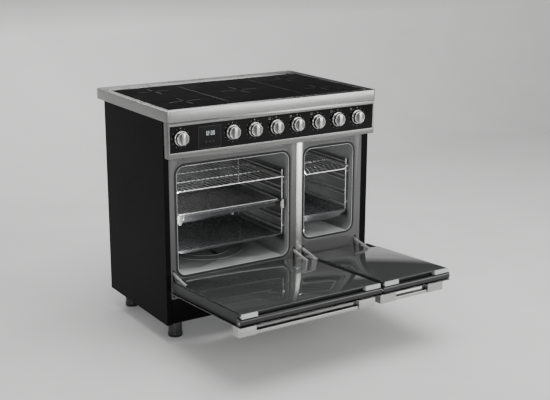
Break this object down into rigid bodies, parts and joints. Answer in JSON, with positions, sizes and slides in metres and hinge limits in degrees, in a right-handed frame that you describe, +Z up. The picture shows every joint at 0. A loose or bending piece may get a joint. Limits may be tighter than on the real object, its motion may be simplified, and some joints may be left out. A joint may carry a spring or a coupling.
{
  "type": "range cooker with double oven",
  "caption": "Free-standing range cooker with a glass induction hob, a wide and a narrow oven with drop-down doors, rotary controls and a storage compartment.",
  "frame": {"origin": "centre of the bounding box on the floor, with both oven doors open", "axes": "+Z up, the front with the oven doors faces -Y, +X to the right of a person who faces the front"},
  "size_m": [0.9, 1.0726, 0.87],
  "materials": {
    "stainless_steel": "brushed",
    "hob_glass": "polished",
    "tinted_glass": "polished",
    "display_glass": "polished",
    "lamp_glass": "frosted",
    "black_enamel": "semi-gloss",
    "dark_enamel": "gloss",
    "grey_enamel": "semi-gloss",
    "galvanised_steel": "matt",
    "bright_wire": "polished",
    "heater_sheath": "matt",
    "seal": "matt",
    "black_plastic": "gloss",
    "switch_plastic": "matt",
    "coil_aluminium": "matt"
  },
  "bodies": {
    "cooker": {"worktop_frame": "stainless_steel", "hob_glass": "hob_glass", "induction_unit": "coil_aluminium", "control_surround": "stainless_steel", "control_fascia": "black_enamel", "timer_display": "display_glass", "knob_switches": "switch_plastic", "side_panel_left": "black_enamel", "side_panel_right": "black_enamel", "back_panel": "galvanised_steel", "base_pan": "galvanised_steel", "main_front_frame": "grey_enamel", "side_front_frame": "grey_enamel", "centre_strip": "stainless_steel", "main_cavity": "dark_enamel", "side_cavity": "dark_enamel", "main_gasket": "seal", "side_gasket": "seal", "fan_cover": "dark_enamel", "fan_motor": "galvanised_steel", "ring_element": "heater_sheath", "grill_elements": "heater_sheath", "oven_lamps": "lamp_glass", "main_racks": "bright_wire", "side_racks": "bright_wire", "runner_rails": "stainless_steel", "hinge_receivers": "galvanised_steel", "storage_box": "galvanised_steel", "feet": "black_plastic", "terminal_box": "black_plastic", "frame_screws": "stainless_steel"},
    "main_door": {"main_door_frame": "grey_enamel", "main_door_glass": "tinted_glass", "main_inner_glass": "tinted_glass", "main_door_trim": "black_plastic", "main_handle": "stainless_steel", "main_hinges": "stainless_steel"},
    "side_door": {"side_door_frame": "grey_enamel", "side_door_glass": "tinted_glass", "side_inner_glass": "tinted_glass", "side_door_trim": "black_plastic", "side_handle": "stainless_steel", "side_hinges": "stainless_steel"},
    "flap": {"storage_flap": "black_enamel"},
    "fan": {"fan_impeller": "galvanised_steel"},
    "upper_shelf": {"main_shelf": "bright_wire"},
    "runner_tray": {"runner_slides": "stainless_steel", "roasting_tray": "dark_enamel", "tray_mesh": "bright_wire"},
    "flat_tray": {"baking_tray": "dark_enamel"},
    "small_shelf": {"side_shelf": "bright_wire"},
    "small_tray": {"side_tray": "dark_enamel"},
    "dial_1": {"knob_1": "stainless_steel"},
    "dial_2": {"knob_2": "stainless_steel"},
    "dial_3": {"knob_3": "stainless_steel"},
    "dial_4": {"knob_4": "stainless_steel"},
    "dial_5": {"knob_5": "stainless_steel"},
    "dial_6": {"knob_6": "stainless_steel"},
    "dial_7": {"knob_7": "stainless_steel"},
    "dial_8": {"knob_8": "stainless_steel"}
  },
  "joints": [
    {"name": "main_door_hinge", "type": "hinge", "parent": "cooker", "child": "main_door", "pos_m": [-0.156, -0.05967, 0.217], "axis": [-1, 0, 0], "range_deg": [0, 86.16]},
    {"name": "side_door_hinge", "type": "hinge", "parent": "cooker", "child": "side_door", "pos_m": [0.292, -0.05967, 0.217], "axis": [-1, 0, 0], "range_deg": [0, 86.16]},
    {"name": "flap_hinge", "type": "hinge", "parent": "cooker", "child": "flap", "pos_m": [0, -0.01267, 0.0855], "axis": [1, 0, 0], "range_deg": [0, 80]},
    {"name": "fan_spin", "type": "hinge", "parent": "cooker", "child": "fan", "pos_m": [-0.161, 0.39033, 0.459], "axis": [0, 1, 0], "continuous": true},
    {"name": "upper_shelf_slide", "type": "slide", "parent": "cooker", "child": "upper_shelf", "axis": [0, 1, 0], "range_m": [-0.3, 0]},
    {"name": "runner_tray_slide", "type": "slide", "parent": "cooker", "child": "runner_tray", "axis": [0, 1, 0], "range_m": [-0.3, 0]},
    {"name": "flat_tray_slide", "type": "slide", "parent": "cooker", "child": "flat_tray", "axis": [0, 1, 0], "range_m": [-0.3, 0]},
    {"name": "small_shelf_slide", "type": "slide", "parent": "cooker", "child": "small_shelf", "axis": [0, 1, 0], "range_m": [-0.3, 0]},
    {"name": "small_tray_slide", "type": "slide", "parent": "cooker", "child": "small_tray", "axis": [0, 1, 0], "range_m": [-0.3, 0]},
    {"name": "knob_1_turn", "type": "hinge", "parent": "cooker", "child": "dial_1", "pos_m": [-0.397, -0.07167, 0.7715], "axis": [0, 1, 0], "range_deg": [0, 270]},
    {"name": "knob_2_turn", "type": "hinge", "parent": "cooker", "child": "dial_2", "pos_m": [-0.1886, -0.07167, 0.7715], "axis": [0, 1, 0], "range_deg": [0, 270]},
    {"name": "knob_3_turn", "type": "hinge", "parent": "cooker", "child": "dial_3", "pos_m": [-0.0964, -0.07167, 0.7715], "axis": [0, 1, 0], "range_deg": [0, 270]},
    {"name": "knob_4_turn", "type": "hinge", "parent": "cooker", "child": "dial_4", "pos_m": [-0.0042, -0.07167, 0.7715], "axis": [0, 1, 0], "range_deg": [0, 270]},
    {"name": "knob_5_turn", "type": "hinge", "parent": "cooker", "child": "dial_5", "pos_m": [0.088, -0.07167, 0.7715], "axis": [0, 1, 0], "range_deg": [0, 270]},
    {"name": "knob_6_turn", "type": "hinge", "parent": "cooker", "child": "dial_6", "pos_m": [0.1802, -0.07167, 0.7715], "axis": [0, 1, 0], "range_deg": [0, 270]},
    {"name": "knob_7_turn", "type": "hinge", "parent": "cooker", "child": "dial_7", "pos_m": [0.2724, -0.07167, 0.7715], "axis": [0, 1, 0], "range_deg": [0, 270]},
    {"name": "knob_8_turn", "type": "hinge", "parent": "cooker", "child": "dial_8", "pos_m": [0.3646, -0.07167, 0.7715], "axis": [0, 1, 0], "range_deg": [0, 270]}
  ]
}
